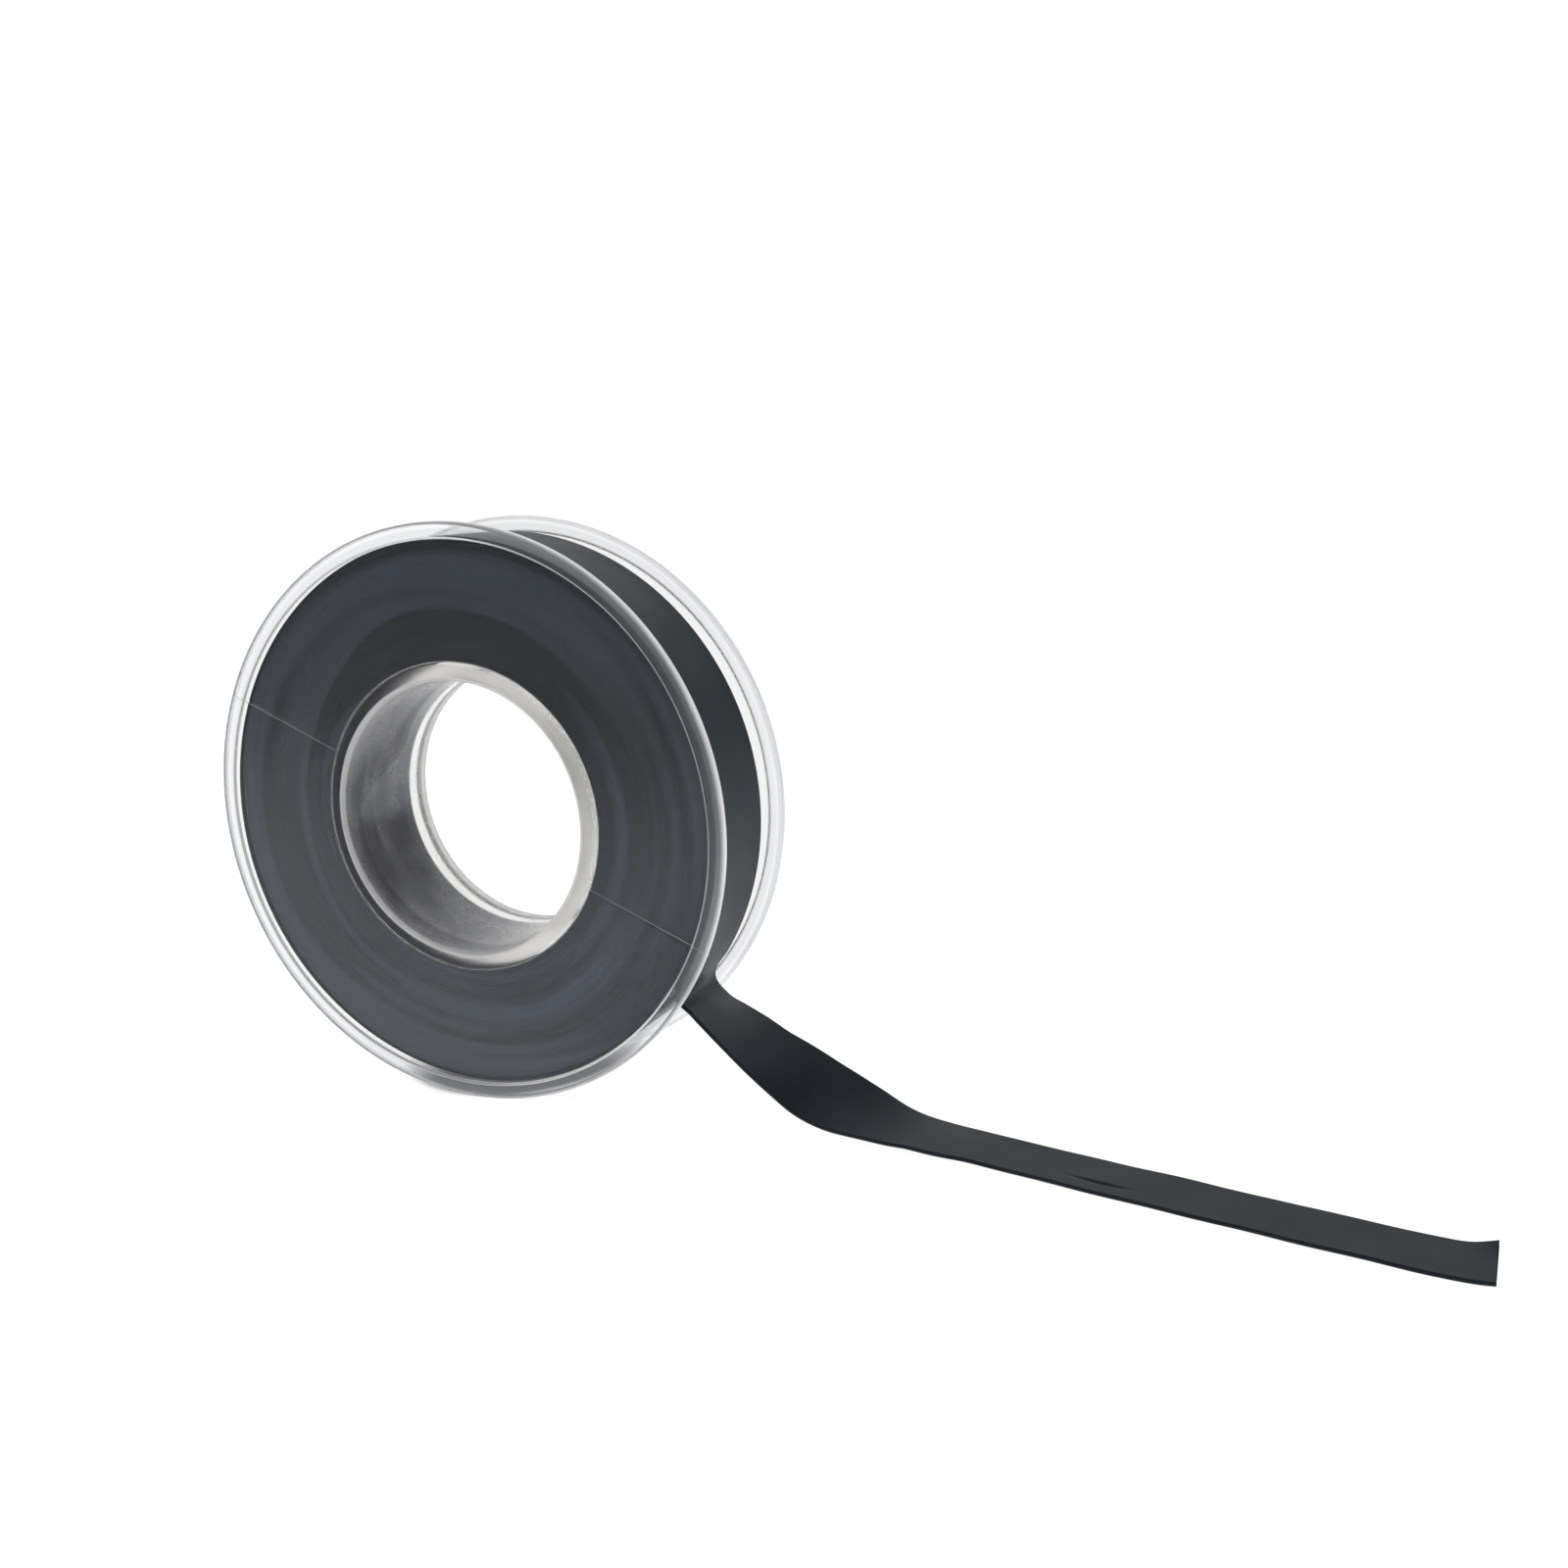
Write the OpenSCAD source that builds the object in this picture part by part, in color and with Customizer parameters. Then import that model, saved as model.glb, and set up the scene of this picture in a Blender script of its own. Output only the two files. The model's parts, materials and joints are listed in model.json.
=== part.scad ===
// Roll of soft black seal tape on a clear moulded spool.
// The spool axis is Y, the front flange faces -Y, and the roll stands on its rims with Z up.
// The tape runs clockwise as seen from the front, lifts off low on the right and lies out along +X.

/* [Spool] */
// Outer diameter of both flanges
flange_d = 72; // [66:0.5:90]
// Diameter of the through bore
bore_d = 34; // [24:0.5:36]
// Wall of the hub tube that carries the tape
hub_wall = 2.2; // [1.2:0.1:3]
// Clear width between the flanges
flange_gap = 16; // [14:0.1:24]
// Thickness of the flange web
web_t = 0.9; // [0.7:0.05:2]
// Fillet between the hub tube and the flange webs
hub_fillet = 0.2; // [0.05:0.05:0.6]

/* [Rim and bore mouth] */
// Radial width of the raised rim
rim_w = 2; // [1.2:0.1:4]
// Height of the rim over the web
rim_h = 0.4; // [0.2:0.05:1]
// Rounding of the edges of the rim
rim_round = 0.45; // [0.1:0.05:0.6]
// Rounding of the bore mouths
mouth_round = 0.5; // [0.2:0.05:0.8]
// Rounding of the small step up to the rim
step_round = 0.12; // [0.05:0.01:0.15]

/* [Wound tape] */
// Width of the tape on the pack
tape_w = 12.7; // [10:0.1:13]
// Thickness of the tape
tape_t = 0.5; // [0.3:0.05:0.8]
// Diameter over the outer turn
pack_d = 69; // [50:0.5:70]
// Least gap between the wound tape and the front flange
side_gap = 0.2; // [0.1:0.05:0.6]
// Sideways wander of the turns
wander = 0.15; // [0:0.01:0.3]
// Gap between the innermost turn and the hub
hub_clear = 0.05; // [0.02:0.01:0.2]
// Running gap between the outer turn and the turns under it
turn_clear = 0.3; // [0.2:0.05:0.5]
// Distance that the outer turn lies behind the middle of the pack
outer_turn_shift = 0.1; // [0:0.05:1.5]

/* [Free tail] */
// Angle below the horizontal at which the tape lifts off
lift_angle = 30; // [20:1:35]
// Arc of the outer turn
turn_arc = 350; // [300:1:351]
// Width of the tail where it is drawn out
tail_w = 8.1; // [7:0.1:12]
// Distance from the lift-off at which the tail starts to narrow
draw_start = 2; // [0:0.5:10]
// Length over which the tail narrows
draw_length = 34; // [20:1:60]
// Clearance between the tail and the surface that it lies on
floor_clear = 0.05; // [0:0.01:0.2]

/* [Hidden] */

flange_r = flange_d / 2;
bore_r = bore_d / 2;
hub_r = bore_r + hub_wall;
rim_in_r = flange_r - rim_w;
web_in = flange_gap / 2;
web_out = web_in + web_t;
rim_out = web_out + rim_h;

pack_r = pack_d / 2;
turn_r = pack_r - tape_t / 2;
core_r = pack_r - tape_t - turn_clear;
core_in_r = hub_r + hub_clear;
turns = floor((core_r - core_in_r) / tape_t);
pack_front = -web_in + side_gap + wander;
pack_mid = pack_front + tape_w / 2;
outer_mid = pack_mid + outer_turn_shift;
floor_z = -flange_r + tape_t / 2 + floor_clear;
// The fillet stays clear of the edge of the innermost turn
root_round = min(hub_fillet, side_gap);

corner_steps = 5;
arc_step = 5;
route_steps = 3;
wander_angle = 97;

// Free part of the tape near the roll: [right, back, up] from the lift-off point, and the twist in degrees.
peel_route = [
    [-1.1, 0, -3.2, -7],
    [0.7, -0.2, -5, -9.5],
    [3.1, -0.2, -6.6, -5.5],
    [5.7, 0, -8.4, 0],
    [8.3, 0.4, -10.4, 5.5],
    [11, 0.7, -12.2, 12],
    [14, 0.9, -14, 17],
    [17, 1.2, -15.3, 16.5],
    [20, 1.4, -16.3, 11],
    [23.2, 1.5, -17.2, 4.5],
    [26.5, 1.7, -17.9, -0.5]
];

// Rest of the tail on the table: [right, back] from the lift-off point, height over the table, and the twist.
floor_route = [
    [30, 1.5, 0.4, -1],
    [34, 1.6, 0.15, -1],
    [38, 1.3, 0, 0],
    [43, 0.6, 0, 0],
    [50, -0.4, 0, 0],
    [57, -1.2, 0, 0],
    [63, -2, 0, 0],
    [70, -2.9, 0, 0],
    [77, -3.7, 0, 0],
    [83, -4.4, 0, 0],
    [87, -4.7, 0.1, 0],
    [90, -4.5, 0.3, 0]
];

lift = [turn_r * cos(lift_angle), outer_mid, -turn_r * sin(lift_angle)];

// Quarter arc of radius r about c, from angle a to angle b
function arc(c, r, a, b) =
    [for (i = [0:corner_steps]) let (t = a + (b - a) * i / corner_steps) c + r * [cos(t), sin(t)]];

// Section of the half of the spool behind its middle, as [radius, distance from the middle]
half_section = concat(
    arc([bore_r + mouth_round, web_out - mouth_round], mouth_round, 180, 90),
    arc([rim_in_r - step_round, web_out + step_round], step_round, 270, 360),
    arc([rim_in_r + step_round, rim_out - step_round], step_round, 180, 90),
    arc([flange_r - rim_round, rim_out - rim_round], rim_round, 90, 0),
    arc([flange_r - rim_round, web_in + rim_round], rim_round, 0, -90),
    arc([hub_r + root_round, web_in - root_round], root_round, 90, 180)
);

function mirrored(points) = [for (i = [len(points) - 1:-1:0]) [points[i][0], -points[i][1]]];

// Turns a section about the spool axis
module about_axis(section) {
    rotate([-90, 0, 0])
        rotate_extrude($fn = 180)
            polygon(section);
}

module spool() {
    color([0.86, 0.88, 0.9, 0.35])
        about_axis(concat(half_section, mirrored(half_section)));
}

// Front edge of one turn of the pack, which wanders from turn to turn
function turn_front(k) = pack_front + wander * sin(k * wander_angle);

function turn_in_r(k) = core_in_r + k * tape_t;

function turn_out_r(k) = k == turns - 1 ? core_r : turn_in_r(k + 1);

pack_section = concat(
    [for (k = [0:turns - 1]) each [[turn_in_r(k), turn_front(k)], [turn_out_r(k), turn_front(k)]]],
    [for (k = [turns - 1:-1:0])
        each [[turn_out_r(k), turn_front(k) + tape_w], [turn_in_r(k), turn_front(k) + tape_w]]]
);

module tape_pack() {
    color([0.16, 0.17, 0.19])
        about_axis(pack_section);
}

// Middle line of the tape: each point is [x, y, z, twist, width]
wound_line = [
    for (a = [turn_arc:-arc_step:arc_step])
        [turn_r * cos(a - lift_angle), outer_mid, turn_r * sin(a - lift_angle), 0, tape_w]
];

// Width of the tail at a distance to the right of the lift-off point
function drawn_w(right) =
    tape_w + (tail_w - tape_w) * max(0, min(1, (right - draw_start) / draw_length));

free_knots = concat(
    [[lift[0], lift[1], lift[2], 0, tape_w]],
    [for (p = peel_route) [lift[0] + p[0], lift[1] + p[1], lift[2] + p[2], p[3], drawn_w(p[0])]],
    [for (p = floor_route) [lift[0] + p[0], lift[1] + p[1], floor_z + p[2], p[3], drawn_w(p[0])]]
);

// Smooth curve through four points in a row, t of the way from the second to the third
function between(a, b, c, d, t) =
    (2 * b + (c - a) * t + (2 * a - 5 * b + 4 * c - d) * t * t + (3 * b - a - 3 * c + d) * t * t * t) / 2;

last_knot = len(free_knots) - 1;

function knot(i) = i < 0 ? wound_line[len(wound_line) - 1] : free_knots[min(i, last_knot)];

free_line = concat(
    [for (i = [0:last_knot - 1], s = [0:route_steps - 1])
        between(knot(i - 1), knot(i), knot(i + 1), knot(i + 2), s / route_steps)],
    [free_knots[last_knot]]
);

tape_line = concat(wound_line, free_line);
lift_ring = len(wound_line);
last_ring = len(tape_line) - 1;

function place(i) = [tape_line[i][0], tape_line[i][1], tape_line[i][2]];

function unit(v) = v / norm(v);

// Direction along the tape, across it from front to back, and out of its upper face
function along(i) = unit(place(min(i + 1, last_ring)) - place(max(i - 1, 0)));

function level_across(i) = let (t = along(i)) unit([0, 1, 0] - t * t[1]);

function across(i) =
    let (h = level_across(i), v = cross(along(i), h)) cos(tape_line[i][3]) * h + sin(tape_line[i][3]) * v;

function outward(i) = cross(along(i), across(i));

function edge(i, side) = place(i) + across(i) * side * tape_line[i][4] / 2;

// The four corners of the tape at one place along it
function ring(i) = [
    edge(i, -1) - outward(i) * tape_t / 2,
    edge(i, 1) - outward(i) * tape_t / 2,
    edge(i, 1) + outward(i) * tape_t / 2,
    edge(i, -1) + outward(i) * tape_t / 2
];

// Stretch of the tape between two rings, closed at both ends
module stretch(first, last) {
    end = 4 * (last - first);
    sides = [
        for (i = [0:4:end - 4], k = [0:3])
            let (a = i + k, b = i + (k + 1) % 4)
                each [[a, a + 4, b], [b, a + 4, b + 4]]
    ];
    ends = [[0, 1, 2], [0, 2, 3], [end, end + 2, end + 1], [end, end + 3, end + 2]];
    polyhedron(points = [for (i = [first:last]) each ring(i)], faces = concat(ends, sides), convexity = 6);
}

module tape_outer_turn() {
    color([0.15, 0.16, 0.18])
        stretch(0, lift_ring);
}

module tape_tail() {
    color([0.14, 0.15, 0.17])
        stretch(lift_ring, last_ring);
}

// Least gap of the tape to itself, between places more than apart_rings rings from each other
apart_rings = 8;
probes = [for (i = [0:last_ring]) [edge(i, -1), place(i), edge(i, 1)]];
least_gap = min([
    for (i = [0:last_ring - apart_rings], j = [i + apart_rings:last_ring], p = probes[i], q = probes[j])
        norm(p - q)
]) - tape_t;
echo(str("Least gap of the tape to itself, in mm: ", least_gap));

spool();
tape_pack();
tape_outer_turn();
tape_tail();
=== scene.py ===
"""Looks of a roll of soft black seal tape on a clear moulded spool.

Lengths are in metres unless a name says mm.
"""

import json
import math
from functools import reduce

import bmesh
import bpy
import numpy as np
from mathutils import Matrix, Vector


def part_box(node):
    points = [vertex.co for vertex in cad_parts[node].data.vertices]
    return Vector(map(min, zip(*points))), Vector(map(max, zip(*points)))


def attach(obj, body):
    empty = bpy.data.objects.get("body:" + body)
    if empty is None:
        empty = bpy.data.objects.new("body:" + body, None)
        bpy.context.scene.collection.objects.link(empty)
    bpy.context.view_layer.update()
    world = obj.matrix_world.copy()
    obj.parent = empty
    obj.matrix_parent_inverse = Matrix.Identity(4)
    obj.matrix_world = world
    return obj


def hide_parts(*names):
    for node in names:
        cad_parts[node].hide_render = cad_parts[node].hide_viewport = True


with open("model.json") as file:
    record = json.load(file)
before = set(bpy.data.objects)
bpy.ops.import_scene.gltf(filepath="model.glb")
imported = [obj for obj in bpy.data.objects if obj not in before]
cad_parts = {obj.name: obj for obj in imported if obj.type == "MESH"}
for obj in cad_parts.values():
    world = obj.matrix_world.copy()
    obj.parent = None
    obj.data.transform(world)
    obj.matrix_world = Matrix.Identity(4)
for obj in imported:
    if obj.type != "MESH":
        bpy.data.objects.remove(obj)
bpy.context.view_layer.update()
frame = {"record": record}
MM = 0.001

# Camera, at the viewing angle of the photograph

CAMERA_PLACE = (0.10651, -0.16133, 0.04380)
CAMERA_TILT_DEG = 77.774
CAMERA_PAN_DEG = 22.538
LENS_MM = 35.1
SENSOR_MM = 36
CLIP_START = 0.01


def make_camera():
    data = bpy.data.cameras.new("camera")
    data.lens = LENS_MM
    data.sensor_width = SENSOR_MM
    data.clip_start = CLIP_START
    camera = bpy.data.objects.new("camera", data)
    camera.location = CAMERA_PLACE
    camera.rotation_euler = (math.radians(CAMERA_TILT_DEG), 0, math.radians(CAMERA_PAN_DEG))
    bpy.context.scene.collection.objects.link(camera)
    bpy.context.scene.camera = camera


make_camera()

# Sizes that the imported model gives

spool_low, spool_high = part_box("spool")
_, pack_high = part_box("tape_pack")
turn_low, turn_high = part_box("tape_outer_turn")
bore = next(m for m in frame["record"]["mounts"] if m["name"] == "hub_bore")
FLANGE_R = spool_high.z
HALF_W = spool_high.y
BORE_R = bore["dims"]["r_mm"] * MM
PACK_R = turn_high.z
TAPE_W = turn_high.y - turn_low.y
OUTER_MID = (turn_high.y + turn_low.y) / 2

# Sizes of the spool and the tape, as in the solids

WEB_T = 0.9 * MM
RIM_H = 0.4 * MM
RIM_W = 2 * MM
RIM_ROUND = 0.45 * MM
MOUTH_ROUND = 0.5 * MM
STEP_ROUND = 0.12 * MM
STEP_TOP_ROUND = 0.18 * MM
HUB_WALL = 2.2 * MM
ROOT_ROUND = 0.2 * MM
TAPE_T = 0.5 * MM
FLOOR_CLEAR = 0.05 * MM

WEB_OUT = HALF_W - RIM_H
WEB_IN = WEB_OUT - WEB_T
HUB_R = BORE_R + HUB_WALL
RIM_IN_R = FLANGE_R - RIM_W
TURN_R = PACK_R - TAPE_T / 2
FLOOR_Z = spool_low.z

# Mesh helpers


def new_piece(name, points, faces):
    """A smooth mesh with its faces turned outwards."""
    mesh = bpy.data.meshes.new(name)
    mesh.from_pydata(np.asarray(points).tolist(), [], faces)
    shape = bmesh.new()
    shape.from_mesh(mesh)
    bmesh.ops.recalc_face_normals(shape, faces=shape.faces)
    shape.to_mesh(mesh)
    shape.free()
    mesh.shade_smooth()
    piece = bpy.data.objects.new(name, mesh)
    bpy.context.scene.collection.objects.link(piece)
    return piece


def band_faces(rows, columns, close_rows):
    """Quads over a grid of points whose columns close on themselves."""
    last = rows if close_rows else rows - 1
    return [
        (
            i * columns + k,
            i * columns + (k + 1) % columns,
            (i + 1) % rows * columns + (k + 1) % columns,
            (i + 1) % rows * columns + k,
        )
        for i in range(last)
        for k in range(columns)
    ]


def unit_rows(vectors):
    return vectors / np.linalg.norm(vectors, axis=1)[:, None]


def turned(radius, side, angle):
    """Points at a radius and an angle about the spool axis and a distance along it."""
    rows = [radius * np.cos(angle), side, radius * np.sin(angle)]
    return np.stack(rows, axis=2).reshape(-1, 3)


def bell(x, middle, width):
    return np.exp(-(((x - middle) / width) ** 2))


# Tape strip: the outer turn and the free tail
# The upper face of the turn spirals, while its under face stays round

LIFT_DEG = 30
BEFORE_LIFT_DEG = 5
WOUND_DEG = 350
WOUND_STEP_DEG = 2
LAYER_GAP = 0.03 * MM
LAYER_PITCH = TAPE_T + LAYER_GAP
DENT = 0.2 * MM
DENT_DEG = 155
DENT_WIDTH_DEG = 40
STRAY = 0.3 * MM
STRAY_DEG = 230
STRAY_WIDTH_DEG = 45
TAIL_W = 8.1 * MM
DRAW_START = 2 * MM
DRAW_LENGTH = 34 * MM
ROUTE_STEPS = 8
LAY_Z = FLOOR_Z + TAPE_T / 2 + FLOOR_CLEAR

# Right, back and up from the lift-off point in mm, and the twist in degrees
PEEL_ROUTE = [
    (-1.1, 0, -3.2, -7),
    (0.7, -0.2, -5, -9.5),
    (3.1, -0.2, -6.6, -5.5),
    (5.7, 0, -8.4, 0),
    (8.3, 0.4, -10.4, 5.5),
    (11, 0.7, -12.2, 12),
    (14, 0.9, -14, 17),
    (17, 1.2, -15.3, 16.5),
    (20, 1.4, -16.3, 11),
    (23.2, 1.5, -17.2, 4.5),
    (26.5, 1.7, -17.9, -0.5),
]

# Right and back from the lift-off point and height over the floor in mm, and the twist in degrees
FLOOR_ROUTE = [
    (30, 1.5, 0.4, -1),
    (34, 1.6, 0.15, -1),
    (38, 1.3, 0, 0),
    (43, 0.6, 0, 0),
    (50, -0.4, 0, 0),
    (57, -1.2, 0, 0),
    (63, -2, 0, 0),
    (70, -2.9, 0, 0),
    (77, -3.7, 0, 0),
    (83, -4.4, 0, 0),
    (87, -4.7, 0.1, 0),
    (90, -4.5, 0.3, 0),
]


def wound_radius(degrees):
    """Radius of the middle of the wound tape at an angle back from the lift-off."""
    dent = DENT * bell(degrees, DENT_DEG, DENT_WIDTH_DEG)
    return TURN_R - LAYER_PITCH * degrees / 360 - dent


def wound_at(degrees):
    """Middle of the wound tape at an angle back from the lift-off, with its twist and width."""
    radius = wound_radius(degrees)
    turn = math.radians(degrees - LIFT_DEG)
    side = OUTER_MID - STRAY * bell(degrees, STRAY_DEG, STRAY_WIDTH_DEG)
    return (radius * math.cos(turn), side, radius * math.sin(turn), 0, TAPE_W)


LIFT = np.array(wound_at(0)[:3])


def drawn_width(right):
    """Width of the tape at a distance to the right of the lift-off point."""
    share = min(1, max(0, (right - DRAW_START) / DRAW_LENGTH))
    return TAPE_W + (TAIL_W - TAPE_W) * share


def free_knots():
    """Places, twists and widths that the free tape passes through."""
    peel = [
        (LIFT[0] + x * MM, LIFT[1] + y * MM, LIFT[2] + z * MM, twist, drawn_width(x * MM))
        for x, y, z, twist in PEEL_ROUTE
    ]
    laid = [
        (LIFT[0] + x * MM, LIFT[1] + y * MM, LAY_Z + z * MM, twist, drawn_width(x * MM))
        for x, y, z, twist in FLOOR_ROUTE
    ]
    return np.array([wound_at(0), *peel, *laid])


def smooth_through(before, knots, steps):
    """Curve through the knots, which comes in from the point before them."""
    a = np.vstack([before, knots[:-2]])
    b, c = knots[:-1], knots[1:]
    d = np.vstack([knots[2:], knots[-1]])
    rows = []
    for i in range(len(b)):
        for t in np.arange(steps) / steps:
            rows.append(
                (
                    2 * b[i]
                    + (c[i] - a[i]) * t
                    + (2 * a[i] - 5 * b[i] + 4 * c[i] - d[i]) * t**2
                    + (3 * b[i] - a[i] - 3 * c[i] + d[i]) * t**3
                )
                / 2
            )
    return np.array([*rows, knots[-1]])


wound_line = np.array([wound_at(a) for a in range(WOUND_DEG, 0, -WOUND_STEP_DEG)])
free_line = smooth_through(wound_at(BEFORE_LIFT_DEG), free_knots(), ROUTE_STEPS)
tape_line = np.vstack([wound_line, free_line])
tape_path = tape_line[:, :3]
tape_run = np.concatenate([[0], np.cumsum(np.linalg.norm(np.diff(tape_path, axis=0), axis=1))])
lift_run = tape_run[len(wound_line)]

FACE_POINTS = 81
EDGE_POINTS = 4
EDGE_ROUND = 0.16 * MM


def tape_section():
    """Section of the tape: share of its half width, distance past that, and height."""
    across = np.linspace(-1, 1, FACE_POINTS)
    swing = np.radians(np.linspace(90, -90, 2 * EDGE_POINTS + 1))[1:-1]
    rear = [(1, EDGE_ROUND * math.cos(a), TAPE_T / 2 * math.sin(a)) for a in swing]
    front = [(-1, -EDGE_ROUND * math.cos(a), -TAPE_T / 2 * math.sin(a)) for a in swing]
    top = [(s, 0, TAPE_T / 2) for s in across]
    under = [(s, 0, -TAPE_T / 2) for s in across[::-1]]
    return np.array([*top, *rear, *under, *front])


def tape_frames():
    """Directions along the tape, across it from front to back, and out of its upper face."""
    along = unit_rows(np.gradient(tape_path, axis=0))
    level = unit_rows(np.array([0, 1, 0]) - along * along[:, 1:2])
    tilt = np.radians(tape_line[:, 3])[:, None]
    across = np.cos(tilt) * level + np.sin(tilt) * np.cross(along, level)
    return along, across, np.cross(along, across)


def waves(count, seed, *spans):
    """Sum of random sine waves, each with a frequency in every one of the given spans."""
    draw = np.random.default_rng(seed)
    rows = []
    for _ in range(count):
        rates = [draw.uniform(low, high) for low, high in spans]
        rows.append((rates, draw.uniform(0, 2 * math.pi)))
    return lambda *at: sum(
        np.sin(sum(f * x for f, x in zip(rates, at)) + phase) for rates, phase in rows
    ) / math.sqrt(count)


# Soft waves along the free tape: height, run and lean from edge to edge
LONG_WAVE = 0.05 * MM
LONG_WAVE_RUN = 5.3 * MM
LONG_WAVE_LEAN = 2
SHORT_WAVE = 0.04 * MM
SHORT_WAVE_RUN = 2.9 * MM
SHORT_WAVE_LEAN = -1.3
FREE_RUN = 6 * MM

# Where the tape comes to lie on the floor, and how much flatter it is there
LAID_RUN = 45 * MM
LAID_SPREAD = 3 * MM
LAID_FLATTER = 0.7

# Cupped edges, pinch mark, curled and slanted end, and wandering edges
CUP = 0.05 * MM
PINCH_RUN = 58.5 * MM
PINCH_LENGTH = 2.3 * MM
PINCH_SIDE = -0.44
PINCH_WIDTH = 0.055
PINCH_DEPTH = 0.32 * MM
END_CURL = 0.5 * MM
END_CURL_LENGTH = 5 * MM
END_SLANT = 1.2 * MM
END_SLANT_LENGTH = 12 * MM
EDGE_WANDER = 0.05 * MM
EDGE_WANDER_START = 12 * MM
EDGE_WAVES = 4
EDGE_RATES = (150, 700)
REAR_EDGE_SEED = 61
FRONT_EDGE_SEED = 62


def near_end(run, length):
    """Share of the last stretch of the tape that lies behind a point on it."""
    return np.clip((run - (tape_run[-1] - lift_run) + length) / length, 0, 1)


def tape_relief(run, side):
    """Height of the soft waves, the cupped edges, the pinch mark and the curled end."""
    free = np.clip(run / FREE_RUN, 0, 1)
    ripple = LONG_WAVE * np.sin(run / LONG_WAVE_RUN + LONG_WAVE_LEAN * side)
    ripple += SHORT_WAVE * np.sin(run / SHORT_WAVE_RUN + SHORT_WAVE_LEAN * side)
    laid = 1 / (1 + np.exp(-(run - LAID_RUN) / LAID_SPREAD))
    loose = 1 - LAID_FLATTER * laid
    cup = CUP * side**2 * loose
    lens = bell(run, PINCH_RUN, PINCH_LENGTH) * bell(side, PINCH_SIDE, PINCH_WIDTH)
    curl = END_CURL * near_end(run, END_CURL_LENGTH) ** 2 * np.clip(side, 0, 1) ** 2
    return free * (ripple * loose + cup - PINCH_DEPTH * lens) + curl


rear_edge = waves(EDGE_WAVES, REAR_EDGE_SEED, EDGE_RATES)
front_edge = waves(EDGE_WAVES, FRONT_EDGE_SEED, EDGE_RATES)


def edge_wander(run, side):
    """Sideways wander of the two edges of the free tape, which dies out towards its middle."""
    free = np.clip(run / EDGE_WANDER_START, 0, 1)
    return EDGE_WANDER * free * side**2 * np.where(side > 0, rear_edge(run), front_edge(run))


LEAVE_LENGTH = 3 * MM


def filled_under():
    """Thickness added under the wound tape, which fades as the tape lifts off."""
    wound = wound_radius(np.arange(WOUND_DEG, 0, -WOUND_STEP_DEG)) - wound_radius(WOUND_DEG)
    left = np.clip(1 - (tape_run[len(wound_line):] - lift_run) / LEAVE_LENGTH, 0, 1)
    return np.concatenate([wound, (TURN_R - wound_radius(WOUND_DEG)) * left**2])


def make_tape_strip():
    section = tape_section()
    along, across, outward = tape_frames()
    half = tape_line[:, 4:5] / 2 - EDGE_ROUND
    run = np.repeat((tape_run - lift_run)[:, None], len(section), axis=1)
    side = np.repeat(section[None, :, 0], len(tape_line), axis=0)
    offset = half * section[:, 0] + section[:, 1] + edge_wander(run, side)
    under = np.clip(-2 * section[:, 2] / TAPE_T, 0, 1)
    height = section[:, 2] - filled_under()[:, None] * under + tape_relief(run, side)
    slant = -END_SLANT * near_end(run, END_SLANT_LENGTH) * (1 - side) / 2
    points = (
        tape_path[:, None, :]
        + along[:, None, :] * slant[:, :, None]
        + across[:, None, :] * offset[:, :, None]
        + outward[:, None, :] * height[:, :, None]
    )
    points = points.reshape(-1, 3)
    points[:, 2] = np.maximum(points[:, 2], FLOOR_Z)
    columns = len(section)
    faces = band_faces(len(tape_line), columns, False)
    faces.append(tuple(range(columns)))
    faces.append(tuple(range((len(tape_line) - 1) * columns, len(tape_line) * columns)))
    piece = new_piece("tape_strip", points, faces)
    lay_flat(piece, run.ravel(), offset.ravel())
    return piece


def lay_flat(piece, run, offset):
    """Gives the tape a map of the length along it and the distance across it."""
    layer = piece.data.uv_layers.new(name="tape_map")
    corners = np.zeros(len(piece.data.loops), int)
    piece.data.loops.foreach_get("vertex_index", corners)
    layer.data.foreach_set("uv", np.column_stack([run, offset])[corners].astype(np.float32).ravel())


tape_strip = make_tape_strip()
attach(tape_strip, "tape")
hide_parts("tape_outer_turn", "tape_tail")

# Wound tape under the outer turn, with the spiral of its turns on both side faces

CORE_GAP = 0.05 * MM
CORE_OUT_R = wound_radius(WOUND_DEG) - TAPE_T / 2 - CORE_GAP
CONTACT = 0.015 * MM
CONTACT_DEPTH = 4 * MM
FIRM_DEPTH = 12 * MM
FIRM_DEG = 130
FIRM_HALF_DEG = 30
FIRM_FADE_DEG = 25
CONTACT_WANDER = 0.4 * MM
HUB_GAP = 0.05 * MM
CORE_IN_R = HUB_R - CONTACT
TURNS = 28
TURN_PITCH = (CORE_OUT_R - CORE_IN_R) / TURNS
TURN_SAMPLES = 4
CORE_SEGMENTS = 240
GROOVE = 0.012 * MM
TURN_WANDER = 0.012 * MM
BROAD_WANDER = 0.14 * MM
FACE_GAP = 0.08 * MM
FACE_MEAN = 0.3 * MM
HUB_SHIFT = 1.6 * MM
HUB_SHIFT_RUN = 1.8 * MM
FRONT_FACE_SEED = 11
REAR_FACE_SEED = 23
TURN_WAVES = 6
TURN_RATES = (0.2, 2.4)
TURN_SLACK = 1e-6
BROAD_WAVES = 7
BROAD_LOBES = 3
BROAD_RATE = 900


def whole_waves(count, seed, most_lobes, spread):
    """Sum of random waves over radius and angle, which close on themselves round the axis."""
    draw = np.random.default_rng(seed)
    rows = [
        (
            draw.integers(1, most_lobes + 1),
            draw.uniform(-spread, spread),
            draw.uniform(0, 2 * math.pi),
        )
        for _ in range(count)
    ]
    return lambda radius, angle: sum(
        np.sin(lobes * angle + rate * radius + phase) for lobes, rate, phase in rows
    ) / math.sqrt(count)


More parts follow.
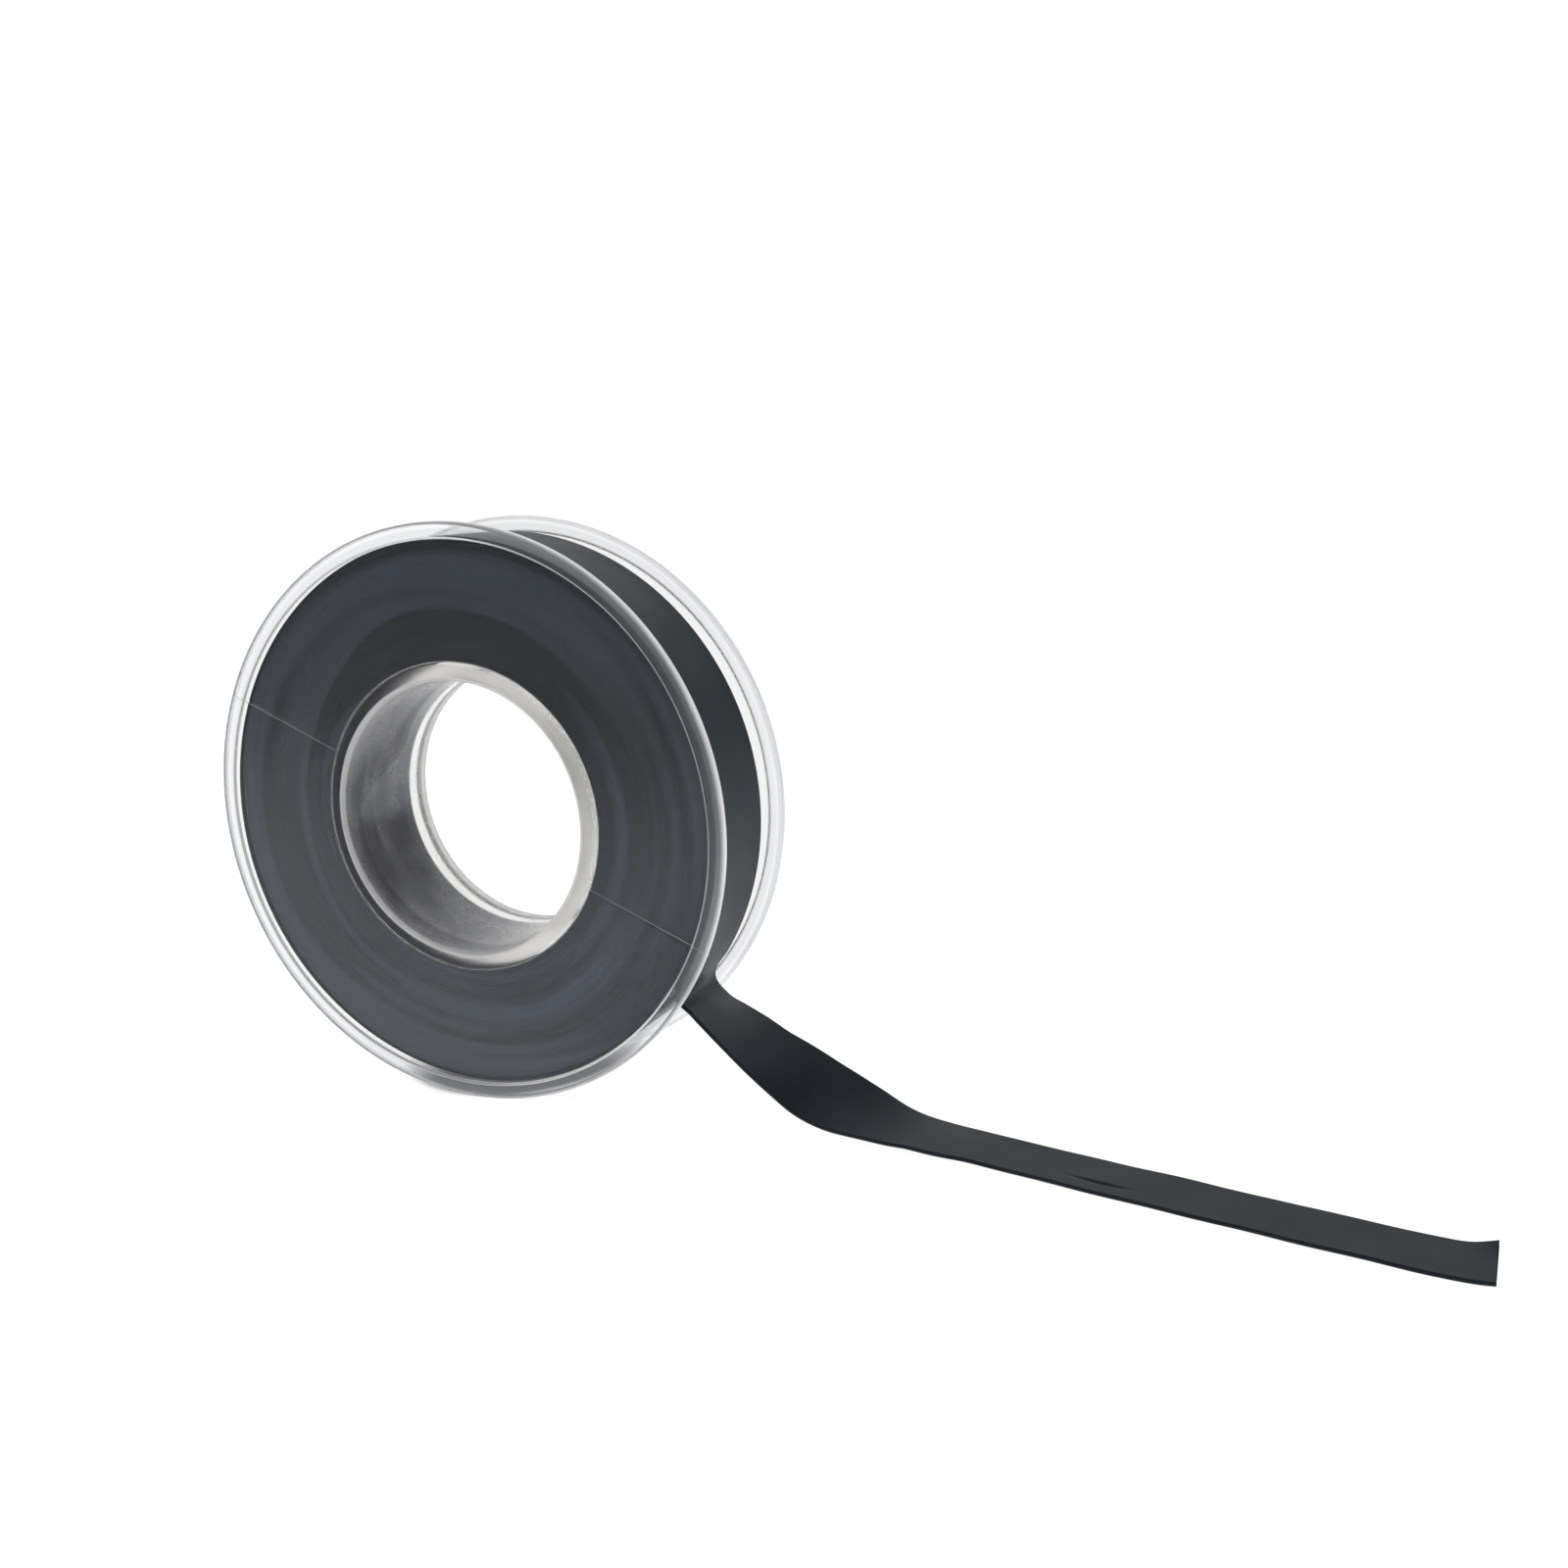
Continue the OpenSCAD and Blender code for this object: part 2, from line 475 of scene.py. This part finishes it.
def core_face(seed):
    """Depth of a side face of the wound tape from the plane that bounds it."""
    edge = waves(TURN_WAVES, seed, TURN_RATES)
    broad = whole_waves(BROAD_WAVES, seed + 1, BROAD_LOBES, BROAD_RATE)

    def depth(radius, angle):
        layers = (radius - CORE_IN_R) / TURN_PITCH - angle / (2 * math.pi)
        layer = np.floor(layers + TURN_SLACK)
        within = layers - layer
        wander = TURN_WANDER * edge(2 * math.pi * layer + angle)
        wander += BROAD_WANDER * broad(radius, angle)
        groove = GROOVE * np.abs(2 * within - 1) ** 4
        return np.maximum(FACE_GAP, FACE_MEAN + wander) + groove

    return depth


def contact_depth(angles):
    """How far back from the front web the tape touches the hub, further where it is firm."""
    off = np.abs(np.degrees(angles) - FIRM_DEG)
    firm = np.clip((FIRM_HALF_DEG + FIRM_FADE_DEG - off) / FIRM_FADE_DEG, 0, 1)
    wander = CONTACT_WANDER * np.sin(3 * angles + np.sin(2 * angles))
    return CONTACT_DEPTH + (FIRM_DEPTH - CONTACT_DEPTH) * firm**2 * (3 - 2 * firm) + wander


def make_wound_turns():
    angles = np.linspace(0, 2 * math.pi, CORE_SEGMENTS, endpoint=False)
    radii = np.linspace(CORE_IN_R, CORE_OUT_R, TURNS * TURN_SAMPLES + 1)
    angle, radius = np.meshgrid(angles, radii)
    front = -WEB_IN + core_face(FRONT_FACE_SEED)(radius, angle)
    shift = HUB_SHIFT * bell(radius, CORE_IN_R, HUB_SHIFT_RUN)
    rear = pack_high.y - core_face(REAR_FACE_SEED)(radius, angle) + shift
    held = np.full(CORE_SEGMENTS, CORE_IN_R)
    loose = held + CONTACT + HUB_GAP
    held_to = contact_depth(angles) - WEB_IN
    spread = np.concatenate([radius, radius[:0:-1], [loose, loose, held]])
    side = np.concatenate([front, rear[:0:-1], [rear[0], held_to + HUB_GAP, held_to]])
    faces = band_faces(len(spread), CORE_SEGMENTS, True)
    return new_piece("wound_turns", turned(spread, side, angles), faces)


wound_turns = make_wound_turns()
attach(wound_turns, "reel")
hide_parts("tape_pack")

# Clear spool, turned from one section, with the parting line of its mould inside the front flange

SPOOL_SEGMENTS = 480
CORNER_STEPS = 7
PARTING_DEG = -21.5
PARTING_HALF_DEG = 0.22
PARTING_LIFT = 0.07 * MM
WEB_RINGS = 14
RIM_RINGS = 6
EDGE_RINGS = 2
HUB_RINGS = 8
BORE_RINGS = 24
GUARD = 0.04 * MM

# Frost of the faces and the corners, from 0 for clear to 1 for white
RIM_FROST = 0.07
OUTER_RIM_FROST = 0.15
EDGE_FROST = 0.95
INNER_EDGE_FROST = 0.2
FRONT_STEP_FROST = 0.45
REAR_STEP_FROST = 0.4
FRONT_MOUTH_FROST = 0.6
FRONT_ROOT_FROST = 0.2
REAR_MOUTH_FROST = 0.4
BORE_FROST = 0.085
FRONT_BORE_FROST = 0.2
FRONT_BORE_DEPTH = 1.2 * MM
REAR_BORE_FROST = 0.15
REAR_BORE_DEPTH = 1.2 * MM
WEB_FROST = 0.015
SEAM_FROST = 0.5


def arc(middle, radius, start_deg, end_deg, frost, end_frost=None):
    """Points round a corner of the section, each with its frost."""
    turn = np.radians(np.linspace(start_deg, end_deg, CORNER_STEPS))
    frosts = np.linspace(frost, frost if end_frost is None else end_frost, CORNER_STEPS)
    return [
        (middle[0] + radius * math.cos(a), middle[1] + radius * math.sin(a), f)
        for a, f in zip(turn, frosts)
    ]


def straight(start, end, count, frost, end_frost=None):
    """Points between two arcs, with one close to each so that the flat between them shades flat."""
    start, end = np.array(start[:2]), np.array(end[:2])
    length = np.linalg.norm(end - start)
    shares = np.linspace(GUARD / length, 1 - GUARD / length, count)
    change = 0 if end_frost is None else end_frost - frost
    return [(*(start + (end - start) * s), frost + change * s) for s in shares]


def half_section(mouth_frost, step_frost, root_frost):
    """Rear half of the section from bore to hub: radius, distance from the middle, frost."""
    arcs = [
        arc((BORE_R + MOUTH_ROUND, WEB_OUT - MOUTH_ROUND), MOUTH_ROUND, 180, 90, mouth_frost),
        arc((RIM_IN_R - STEP_ROUND, WEB_OUT + STEP_ROUND), STEP_ROUND, 270, 360, step_frost),
        arc((RIM_IN_R + STEP_TOP_ROUND, HALF_W - STEP_TOP_ROUND), STEP_TOP_ROUND, 180, 90, step_frost),
        arc((FLANGE_R - RIM_ROUND, HALF_W - RIM_ROUND), RIM_ROUND, 90, 0, OUTER_RIM_FROST, EDGE_FROST),
        arc((FLANGE_R - RIM_ROUND, WEB_IN + RIM_ROUND), RIM_ROUND, 0, -90, EDGE_FROST, INNER_EDGE_FROST),
        arc((HUB_R + ROOT_ROUND, WEB_IN - ROOT_ROUND), ROOT_ROUND, 90, 180, root_frost),
    ]
    between = {
        0: (WEB_RINGS, WEB_FROST),
        2: (RIM_RINGS, RIM_FROST, OUTER_RIM_FROST),
        3: (EDGE_RINGS, EDGE_FROST),
        4: (WEB_RINGS, 0),
    }
    points = []
    for i, corner in enumerate(arcs):
        points += corner
        if i in between:
            points += straight(corner[-1], arcs[i + 1][0], *between[i])
    return points


def spool_section():
    """Whole section, with frost that comes into the bore from both mouths."""
    rear = half_section(REAR_MOUTH_FROST, REAR_STEP_FROST, 0)
    ahead = half_section(FRONT_MOUTH_FROST, FRONT_STEP_FROST, FRONT_ROOT_FROST)
    front = [(r, -y, frost) for r, y, frost in reversed(ahead)]
    hub = straight(rear[-1], front[0], HUB_RINGS, 0)
    inner = straight(front[-1], rear[0], BORE_RINGS, 0)
    section = np.array([*rear, *hub, *front, *inner])
    wall = section[-BORE_RINGS:]
    from_front = FRONT_BORE_FROST * np.exp((wall[0, 1] - wall[:, 1]) / FRONT_BORE_DEPTH)
    from_rear = REAR_BORE_FROST * np.exp((wall[:, 1] - wall[-1, 1]) / REAR_BORE_DEPTH)
    wall[:, 2] = BORE_FROST + from_front + from_rear
    return section


def section_normals(section):
    """Outward directions of a closed section that runs clockwise."""
    step = np.roll(section[:, :2], -1, axis=0) - np.roll(section[:, :2], 1, axis=0)
    return unit_rows(np.column_stack([-step[:, 1], step[:, 0]]))


def spool_angles():
    """Angles round the spool and how far the parting line stands out at each."""
    plain = np.arange(SPOOL_SEGMENTS) * 360 / SPOOL_SEGMENTS
    seams = [PARTING_DEG % 360, (PARTING_DEG + 180) % 360]
    near = np.min([np.abs(plain - s) for s in seams], axis=0) < 2 * PARTING_HALF_DEG
    rows = [(a, 0) for a in plain[~near]]
    for seam in seams:
        rows += [(seam - PARTING_HALF_DEG, 0), (seam, PARTING_LIFT), (seam + PARTING_HALF_DEG, 0)]
    return np.array(sorted(rows))


def make_clear_spool():
    section = spool_section()
    normals = section_normals(section)
    inside = (section[:, 1] < 0) & (section[:, 1] > -WEB_IN - RIM_ROUND)
    split = inside & (section[:, 0] > HUB_R + ROOT_ROUND)
    angles = spool_angles()
    lift = angles[:, 1:2] * split
    radius = section[:, 0] + normals[:, 0] * lift
    side = section[:, 1] + normals[:, 1] * lift
    points = turned(radius, side, np.radians(angles[:, :1]))
    piece = new_piece("clear_spool", points, band_faces(len(angles), len(section), True))
    seam = SEAM_FROST * (lift > 0)
    frost = piece.data.attributes.new("frost", "FLOAT", "POINT")
    frost.data.foreach_set("value", np.maximum(section[:, 2], seam).astype(np.float32).ravel())
    return piece


clear_spool = make_clear_spool()
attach(clear_spool, "reel")
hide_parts("spool")

# Materials

WHITE = (1, 1, 1, 1)


class Nodes:
    """Short way to add and join the nodes of one material or world."""

    def __init__(self, tree):
        self.tree = tree
        tree.nodes.clear()

    def add(self, kind, inputs=None, **settings):
        node = self.tree.nodes.new("ShaderNode" + kind)
        for name, value in settings.items():
            setattr(node, name, value)
        for name, value in (inputs or {}).items():
            if isinstance(value, bpy.types.NodeSocket):
                self.tree.links.new(value, node.inputs[name])
            else:
                node.inputs[name].default_value = value
        return node

    def math(self, operation, a, b=0.0):
        return self.add("Math", {0: a, 1: b}, operation=operation).outputs[0]

    def plus(self, *values):
        return reduce(lambda a, b: self.math("ADD", a, b), values)

    def times(self, *values):
        return reduce(lambda a, b: self.math("MULTIPLY", a, b), values)

    def one_less(self, value):
        return self.math("SUBTRACT", 1.0, value)

    def span(self, value, low, high, to_low=0.0, to_high=1.0):
        """Value taken smoothly from one range to another."""
        inputs = {
            "Value": value,
            "From Min": low,
            "From Max": high,
            "To Min": to_low,
            "To Max": to_high,
        }
        return self.add("MapRange", inputs, interpolation_type="SMOOTHSTEP").outputs[0]

    def place(self):
        return self.add("TexCoord").outputs["Object"]

    def scaled(self, vector, scale):
        """Vector with each of its parts times that of the scale."""
        return self.add("VectorMath", {0: vector, 1: scale}, operation="MULTIPLY").outputs[0]

    def noise(self, vector, scale, detail=2.0, roughness=0.5):
        inputs = {"Vector": vector, "Scale": scale, "Detail": detail, "Roughness": roughness}
        return self.add("TexNoise", inputs).outputs[0]

    def blend(self, share, low, high):
        """Colour between two colours."""
        inputs = {0: share, 6: low, 7: high}
        return self.add("Mix", inputs, data_type="RGBA").outputs[2]

    def finish(self, surface, **others):
        inputs = {"Surface": surface.outputs[0]}
        inputs.update({name: node.outputs[0] for name, node in others.items()})
        self.add("OutputMaterial", inputs)


def new_material(name):
    material = bpy.data.materials.new(name)
    material.use_nodes = True
    return material, Nodes(material.node_tree)


class RoundAxis:
    """Radius, direction and depth of a point about the spool axis, as node outputs."""

    def __init__(self, nodes):
        self.nodes = nodes
        self.place = nodes.place()
        flat = nodes.scaled(self.place, (1, 0, 1))
        direction = nodes.add("VectorMath", {0: flat}, operation="NORMALIZE").outputs[0]
        self.radius = nodes.add("VectorMath", {0: flat}, operation="LENGTH").outputs["Value"]
        self.depth = nodes.add("SeparateXYZ", {0: self.place}).outputs["Y"]
        self.parts = nodes.add("SeparateXYZ", {0: direction}).outputs

    def noise(self, ring_scale, turn_scale, detail, shift=0.0):
        """Noise that changes fast with the radius and the depth and slowly round the axis."""
        nodes = self.nodes
        across = nodes.plus(self.radius, self.depth)
        inputs = {
            "X": nodes.times(self.parts["X"], turn_scale),
            "Y": nodes.plus(nodes.times(across, ring_scale), shift),
            "Z": nodes.times(self.parts["Z"], turn_scale),
        }
        return nodes.noise(nodes.add("CombineXYZ", inputs).outputs[0], 1.0, detail)


TAPE_DARK = (0.003, 0.006, 0.011, 1)
TAPE_PALE = (0.008, 0.013, 0.021, 1)
TAPE_TINT = (0.94, 0.98, 1, 1)
DRAW_LINE_SCALE = (60, 900, 1)
PATCH_SCALE = 110.0
GRAIN_SCALE = 9000.0


def strip_tape_material():
    """Soft black tape with faint lengthwise draw lines and a fine grain."""
    material, nodes = new_material("soft_tape")
    flat = nodes.add("UVMap", uv_map="tape_map").outputs[0]
    lines = nodes.noise(nodes.scaled(flat, DRAW_LINE_SCALE), 1.0, detail=4.0, roughness=0.6)
    patches = nodes.noise(flat, PATCH_SCALE, detail=3.0)
    grain = nodes.noise(flat, GRAIN_SCALE, detail=2.0)
    height = nodes.plus(nodes.times(lines, 0.6), nodes.times(grain, 0.4))
    bump = nodes.add("Bump", {"Strength": 0.04, "Distance": 0.04 * MM, "Height": height})
    inputs = {
        "Base Color": nodes.blend(nodes.span(patches, 0.3, 0.7), TAPE_DARK, TAPE_PALE),
        "Roughness": nodes.span(patches, 0.3, 0.7, 0.42, 0.5),
        "Specular IOR Level": 0.2,
        "Specular Tint": TAPE_TINT,
        "Normal": bump.outputs[0],
    }
    nodes.finish(nodes.add("BsdfPrincipled", inputs))
    return material


BAND_DARK = (0.002, 0.003, 0.006, 1)
BAND_BLUE = (0.062, 0.078, 0.116, 1)
BAND_GREY = (0.073, 0.082, 0.103, 1)
BAND_DRIFT = 2.5
BROAD_SHARE = 0.42
BAND_SHARE = 0.58
PALE_R = 29 * MM


def wound_tape_material():
    """The same tape on its cut edges, with bands that run round the axis."""
    material, nodes = new_material("wound_tape")
    axis = RoundAxis(nodes)
    broad = axis.noise(ring_scale=150.0, turn_scale=0.7, detail=0.0)
    drift = nodes.times(broad, BAND_DRIFT)
    bands = axis.noise(ring_scale=480.0, turn_scale=0.6, detail=0.0, shift=drift)
    tone = axis.noise(ring_scale=330.0, turn_scale=0.5, detail=0.0, shift=7.0)
    paler = nodes.span(axis.radius, HUB_R, PALE_R, -0.07, 0.02)
    mixed = nodes.plus(nodes.times(broad, BROAD_SHARE), nodes.times(bands, BAND_SHARE), paler)
    pale = nodes.blend(nodes.span(tone, 0.4, 0.6), BAND_BLUE, BAND_GREY)
    inputs = {
        "Base Color": nodes.blend(nodes.span(mixed, 0.4, 0.6), BAND_DARK, pale),
        "Roughness": nodes.span(bands, 0.3, 0.7, 0.45, 0.65),
        "Specular IOR Level": 0.25,
    }
    nodes.finish(nodes.add("BsdfPrincipled", inputs))
    return material


# Finish of the clear plastic: its colours, and the radii or depths between which it changes
WEB_CLEAR = (0.95, 0.95, 0.945, 1)
WEB_EDGE_CLEAR = (0.83, 0.83, 0.828, 1)
RIM_INNER_CLEAR = (0.8, 0.81, 0.83, 1)
RIM_OUTER_CLEAR = (0.93, 0.935, 0.945, 1)
GLOSS_TINT = (0.44, 0.48, 0.57, 1)
DEPTH_TINT = (0.72, 0.715, 0.695, 1)
CLOUD_SCALE = (110, 260, 110)
HUB_FADE = (HUB_R - 0.25 * MM, HUB_R - 0.05 * MM)
WALL_FADE = (BORE_R + 0.02 * MM, BORE_R + 0.1 * MM)
FRONT_FADE = (0.2 * MM - WEB_OUT, 0.8 * MM - WEB_OUT)
REAR_FADE = (WEB_IN - 1 * MM, WEB_IN)
WEB_EDGE_FADE = (RIM_IN_R - 1.4 * MM, RIM_IN_R - 1.1 * MM)
RIM_FADE = (RIM_IN_R - 0.1 * MM, RIM_IN_R + 0.2 * MM)
RIM_OUTER_FADE = (RIM_IN_R + 0.9 * MM, RIM_IN_R + 1.3 * MM)


def clear_plastic_material():
    """Clear moulded plastic with a faint haze, flow marks round the axis and fine scuffs."""
    material, nodes = new_material("clear_plastic")
    axis = RoundAxis(nodes)
    flow = axis.noise(ring_scale=700.0, turn_scale=1.2, detail=2.0)
    streaks = axis.noise(ring_scale=1300.0, turn_scale=0.9, detail=2.0)
    scuffs = nodes.noise(axis.place, 900.0, detail=4.0, roughness=0.65)
    mottle = nodes.noise(axis.place, 150.0, detail=1.0)
    clouds = nodes.noise(nodes.scaled(axis.place, CLOUD_SCALE), 1.0, detail=1.0)
    hub = nodes.span(axis.radius, *HUB_FADE, 1.0, 0.0)
    wall = nodes.span(axis.radius, *WALL_FADE, 1.0, 0.0)
    frost = nodes.times(
        nodes.add("Attribute", attribute_name="frost").outputs["Fac"],
        nodes.span(streaks, 0.25, 0.75, 0.9, 1.1),
        nodes.span(mottle, 0.3, 0.7, 0.92, 1.08),
    )
    cloudy = nodes.times(wall, nodes.span(clouds, 0.35, 0.65, -0.05, 0.06))
    frost = nodes.math("MAXIMUM", nodes.plus(frost, cloudy), 0.0)
    front_haze = nodes.span(axis.depth, *FRONT_FADE, 0.3, 0.16)
    rear_haze = nodes.span(axis.depth, *REAR_FADE, 0.0, 0.5)
    haze = nodes.times(hub, nodes.plus(front_haze, rear_haze))
    gloss = nodes.plus(nodes.span(scuffs, 0.35, 0.75, 0.03, 0.08), nodes.times(frost, 0.4))
    bump = nodes.add("Bump", {"Strength": 0.05, "Distance": 0.05 * MM, "Height": flow})
    web = nodes.blend(nodes.span(axis.radius, *WEB_EDGE_FADE), WEB_CLEAR, WEB_EDGE_CLEAR)
    rim = nodes.blend(nodes.span(axis.radius, *RIM_OUTER_FADE), RIM_INNER_CLEAR, RIM_OUTER_CLEAR)
    inputs = {
        "Base Color": nodes.blend(nodes.span(axis.radius, *RIM_FADE), web, rim),
        "Roughness": nodes.plus(gloss, haze),
        "IOR": 1.5,
        "Specular Tint": GLOSS_TINT,
        "Transmission Weight": nodes.one_less(frost),
        "Normal": bump.outputs[0],
    }
    depth = nodes.add("VolumeAbsorption", {"Color": DEPTH_TINT, "Density": 60.0})
    nodes.finish(nodes.add("BsdfPrincipled", inputs), Volume=depth)
    return material


# Painted shadow under the roll: middle and half lengths on the floor, edge, depth and where it dies out
SHADE_MIDDLE = (-2.5 * MM, 10 * MM)
SHADE_HALF = (16 * MM, 19.7 * MM)
SHADE_EDGE = (0.9, 1.03)
SHADE_MOST = 0.9
SHADE_LEFT = (-17 * MM, -6 * MM)
SHADE_BACK = (6 * MM, 26 * MM)
FLOOR_PALE = (0.25, 0.25, 0.25, 1)
FLOOR_SHADE = (0.125, 0.115, 0.108, 1)
# Painted light: the floor glows weakly in front of this run of depths and strongly behind it
GLOW_RUN = (-0.27, -0.08)
GLOW_RANGE = (0.25, 0.95)


def floor_material():
    """Plain pale floor with a painted glow that keeps it light and dims towards the front, and a painted
    shadow under the roll.
    """
    material, nodes = new_material("floor")
    parts = nodes.add("SeparateXYZ", {0: nodes.place()}).outputs
    off = [
        nodes.math("DIVIDE", nodes.math("SUBTRACT", parts[name], middle), half)
        for name, middle, half in zip("XY", SHADE_MIDDLE, SHADE_HALF)
    ]
    reach = nodes.math("SQRT", nodes.plus(*[nodes.times(x, x) for x in off]))
    # Painted shadow: darkest in the middle of the patch under the roll, fading out to the left and
    # towards the back
    shade = nodes.times(
        nodes.span(reach, *SHADE_EDGE, SHADE_MOST, 0.0),
        nodes.span(parts["X"], *SHADE_LEFT),
        nodes.span(parts["Y"], *SHADE_BACK, 1.0, 0.0),
    )
    # Painted light: the floor's glow, weak in front and taken out where the painted shadow lies
    glow = nodes.times(nodes.span(parts["Y"], *GLOW_RUN, *GLOW_RANGE), nodes.one_less(shade))
    inputs = {
        # Painted shadow: the floor's colour goes darker towards FLOOR_SHADE under the roll
        "Base Color": nodes.blend(shade, FLOOR_PALE, FLOOR_SHADE),
        "Roughness": 0.9,
        "Specular IOR Level": 0.1,
        "Emission Color": WHITE,
        "Emission Strength": glow,
    }
    nodes.finish(nodes.add("BsdfPrincipled", inputs))
    return material


tape_strip.data.materials.append(strip_tape_material())
wound_turns.data.materials.append(wound_tape_material())
clear_spool.data.materials.append(clear_plastic_material())

# Floor, sky and lights

FLOOR_HALF = 3.0
FLOOR_DROP = 0.02 * MM
SKY_STRENGTH = 1.05


def make_floor():
    z = FLOOR_Z - FLOOR_DROP
    corners = [(-FLOOR_HALF, -FLOOR_HALF, z), (FLOOR_HALF, -FLOOR_HALF, z)]
    corners += [(FLOOR_HALF, FLOOR_HALF, z), (-FLOOR_HALF, FLOOR_HALF, z)]
    mesh = bpy.data.meshes.new("floor")
    mesh.from_pydata(corners, [], [(0, 1, 2, 3)])
    mesh.materials.append(floor_material())
    floor = bpy.data.objects.new("floor", mesh)
    bpy.context.scene.collection.objects.link(floor)


def make_sky():
    """White studio all round, darker in front, overhead and behind on the right."""
    world = bpy.data.worlds.new("studio")
    world.use_nodes = True
    bpy.context.scene.world = world
    nodes = Nodes(world.node_tree)
    way = nodes.add("SeparateXYZ", {0: nodes.add("TexCoord").outputs["Generated"]}).outputs
    front = nodes.span(way["Y"], -0.95, -0.2, 0.3, 1.0)
    overhead = nodes.span(way["Z"], 0.35, 0.95, 1.0, 0.5)
    behind = nodes.span(way["Y"], -0.1, 0.4)
    right = nodes.times(nodes.span(way["X"], 0.1, 0.45, 0.0, 0.6), behind)
    light = nodes.times(front, overhead, nodes.one_less(right), SKY_STRENGTH)
    back = nodes.add("Background", {"Color": WHITE, "Strength": light})
    nodes.add("OutputWorld", {"Surface": back.outputs[0]})


def make_light(name, place, target, size, power):
    data = bpy.data.lights.new(name, "AREA")
    data.shape = "DISK"
    data.size = size
    data.energy = power
    light = bpy.data.objects.new(name, data)
    light.location = place
    aim = np.array(target) - np.array(place)
    light.rotation_euler = Vector(aim).to_track_quat("-Z", "Y").to_euler()
    bpy.context.scene.collection.objects.link(light)


make_floor()
make_sky()
make_light(
    "top_softbox",
    place=(-0.1, 0.15, 0.6),
    target=(0.02, 0.05, 0),
    size=0.8,
    power=1.0,
)
bpy.context.scene.view_settings.view_transform = "Standard"
cycles = bpy.context.scene.cycles
cycles.sampling_pattern = "TABULATED_SOBOL"
cycles.max_bounces = 24
cycles.glossy_bounces = 16
cycles.transmission_bounces = 24
